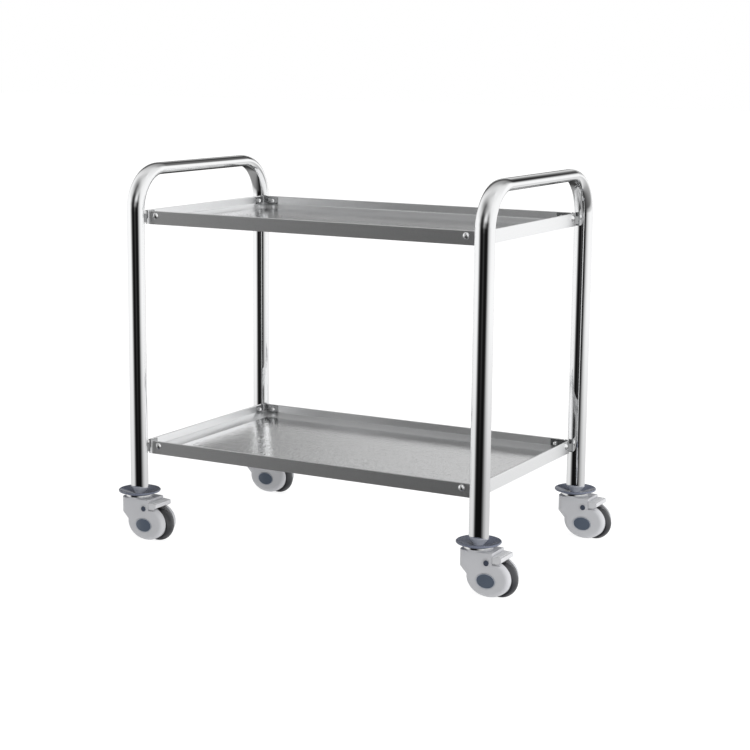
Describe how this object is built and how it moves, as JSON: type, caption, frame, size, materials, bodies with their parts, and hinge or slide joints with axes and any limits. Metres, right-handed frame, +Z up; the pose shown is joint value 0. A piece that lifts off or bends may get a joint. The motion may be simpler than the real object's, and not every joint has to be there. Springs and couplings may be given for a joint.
{
  "type": "instrument cart",
  "caption": "Two-shelf stainless instrument cart: bent-tube end frames with handle bars, lipped sheet trays and braked swivel casters with bumper discs.",
  "frame": {"origin": "under the middle of the bounding box, on the floor", "axes": "+X along the cart's length towards the side the casters trail to, +Y across its width, +Z up"},
  "size_m": [1.0046, 0.622, 0.86],
  "materials": {
    "frame_tube": "mirror-polished stainless tube",
    "tray_sheet": "bright stainless sheet with a fine-grained floor",
    "bracket_steel": "polished stainless",
    "fastener": "polished",
    "socket_steel": "polished",
    "bumper_plastic": "smooth blue-grey",
    "ring_steel": "polished",
    "housing_plastic": "satin light grey",
    "badge_plastic": "smooth slate",
    "axle_steel": "satin",
    "pin_plastic": "dark caps",
    "tyre_rubber": "smooth dark grey tread",
    "wheel_plastic": "satin grey",
    "bearing_steel": "satin",
    "pedal_plastic": "satin light grey",
    "shoe_rubber": "matt"
  },
  "bodies": {
    "root": {"left_end_frame": "frame_tube", "right_end_frame": "frame_tube", "upper_tray": "tray_sheet", "upper_corner_brackets": "bracket_steel", "upper_tray_screws": "fastener", "upper_tray_nuts": "fastener", "lower_tray": "tray_sheet", "lower_corner_brackets": "bracket_steel", "lower_tray_screws": "fastener", "lower_tray_nuts": "fastener", "front_left_leg_socket": "socket_steel", "front_right_leg_socket": "socket_steel", "rear_left_leg_socket": "socket_steel", "rear_right_leg_socket": "socket_steel"},
    "front_left_caster": {"front_left_caster_housing": "housing_plastic", "front_left_swivel_ring": "ring_steel", "front_left_badges": "badge_plastic", "front_left_axle": "axle_steel", "front_left_pivot_pin": "pin_plastic"},
    "front_left_wheel": {"front_left_tyre": "tyre_rubber", "front_left_wheel_core": "wheel_plastic", "front_left_wheel_bearings": "bearing_steel"},
    "front_left_pedal": {"front_left_brake_pedal": "pedal_plastic", "front_left_brake_shoe": "shoe_rubber"},
    "front_left_bumper": {"front_left_bumper_disc": "bumper_plastic"},
    "front_right_caster": {"front_right_caster_housing": "housing_plastic", "front_right_swivel_ring": "ring_steel", "front_right_badges": "badge_plastic", "front_right_axle": "axle_steel", "front_right_pivot_pin": "pin_plastic"},
    "front_right_wheel": {"front_right_tyre": "tyre_rubber", "front_right_wheel_core": "wheel_plastic", "front_right_wheel_bearings": "bearing_steel"},
    "front_right_pedal": {"front_right_brake_pedal": "pedal_plastic", "front_right_brake_shoe": "shoe_rubber"},
    "front_right_bumper": {"front_right_bumper_disc": "bumper_plastic"},
    "rear_left_caster": {"rear_left_caster_housing": "housing_plastic", "rear_left_swivel_ring": "ring_steel", "rear_left_badges": "badge_plastic", "rear_left_axle": "axle_steel", "rear_left_pivot_pin": "pin_plastic"},
    "rear_left_wheel": {"rear_left_tyre": "tyre_rubber", "rear_left_wheel_core": "wheel_plastic", "rear_left_wheel_bearings": "bearing_steel"},
    "rear_left_pedal": {"rear_left_brake_pedal": "pedal_plastic", "rear_left_brake_shoe": "shoe_rubber"},
    "rear_left_bumper": {"rear_left_bumper_disc": "bumper_plastic"},
    "rear_right_caster": {"rear_right_caster_housing": "housing_plastic", "rear_right_swivel_ring": "ring_steel", "rear_right_badges": "badge_plastic", "rear_right_axle": "axle_steel", "rear_right_pivot_pin": "pin_plastic"},
    "rear_right_wheel": {"rear_right_tyre": "tyre_rubber", "rear_right_wheel_core": "wheel_plastic", "rear_right_wheel_bearings": "bearing_steel"},
    "rear_right_pedal": {"rear_right_brake_pedal": "pedal_plastic", "rear_right_brake_shoe": "shoe_rubber"},
    "rear_right_bumper": {"rear_right_bumper_disc": "bumper_plastic"}
  },
  "joints": [
    {"name": "front_left_swivel", "type": "hinge", "parent": "root", "child": "front_left_caster", "pos_m": [-0.45425, -0.263, 0.1], "axis": [0, 0, 1], "continuous": true},
    {"name": "front_left_wheel_spin", "type": "hinge", "parent": "front_left_caster", "child": "front_left_wheel", "pos_m": [-0.40125, -0.263, 0.0375], "axis": [0, 1, 0], "continuous": true},
    {"name": "front_left_pedal_press", "type": "hinge", "parent": "front_left_caster", "child": "front_left_pedal", "pos_m": [-0.42225, -0.263, 0.077], "axis": [0, 1, 0], "range_deg": [0, 7]},
    {"name": "front_left_bumper_spin", "type": "hinge", "parent": "root", "child": "front_left_bumper", "pos_m": [-0.45425, -0.263, 0.104], "axis": [0, 0, 1], "continuous": true},
    {"name": "front_right_swivel", "type": "hinge", "parent": "root", "child": "front_right_caster", "pos_m": [0.41175, -0.263, 0.1], "axis": [0, 0, 1], "continuous": true},
    {"name": "front_right_wheel_spin", "type": "hinge", "parent": "front_right_caster", "child": "front_right_wheel", "pos_m": [0.46475, -0.263, 0.0375], "axis": [0, 1, 0], "continuous": true},
    {"name": "front_right_pedal_press", "type": "hinge", "parent": "front_right_caster", "child": "front_right_pedal", "pos_m": [0.44375, -0.263, 0.077], "axis": [0, 1, 0], "range_deg": [0, 7]},
    {"name": "front_right_bumper_spin", "type": "hinge", "parent": "root", "child": "front_right_bumper", "pos_m": [0.41175, -0.263, 0.104], "axis": [0, 0, 1], "continuous": true},
    {"name": "rear_left_swivel", "type": "hinge", "parent": "root", "child": "rear_left_caster", "pos_m": [-0.45425, 0.263, 0.1], "axis": [0, 0, 1], "continuous": true},
    {"name": "rear_left_wheel_spin", "type": "hinge", "parent": "rear_left_caster", "child": "rear_left_wheel", "pos_m": [-0.40125, 0.263, 0.0375], "axis": [0, 1, 0], "continuous": true},
    {"name": "rear_left_pedal_press", "type": "hinge", "parent": "rear_left_caster", "child": "rear_left_pedal", "pos_m": [-0.42225, 0.263, 0.077], "axis": [0, 1, 0], "range_deg": [0, 7]},
    {"name": "rear_left_bumper_spin", "type": "hinge", "parent": "root", "child": "rear_left_bumper", "pos_m": [-0.45425, 0.263, 0.104], "axis": [0, 0, 1], "continuous": true},
    {"name": "rear_right_swivel", "type": "hinge", "parent": "root", "child": "rear_right_caster", "pos_m": [0.41175, 0.263, 0.1], "axis": [0, 0, 1], "continuous": true},
    {"name": "rear_right_wheel_spin", "type": "hinge", "parent": "rear_right_caster", "child": "rear_right_wheel", "pos_m": [0.46475, 0.263, 0.0375], "axis": [0, 1, 0], "continuous": true},
    {"name": "rear_right_pedal_press", "type": "hinge", "parent": "rear_right_caster", "child": "rear_right_pedal", "pos_m": [0.44375, 0.263, 0.077], "axis": [0, 1, 0], "range_deg": [0, 7]},
    {"name": "rear_right_bumper_spin", "type": "hinge", "parent": "root", "child": "rear_right_bumper", "pos_m": [0.41175, 0.263, 0.104], "axis": [0, 0, 1], "continuous": true}
  ]
}
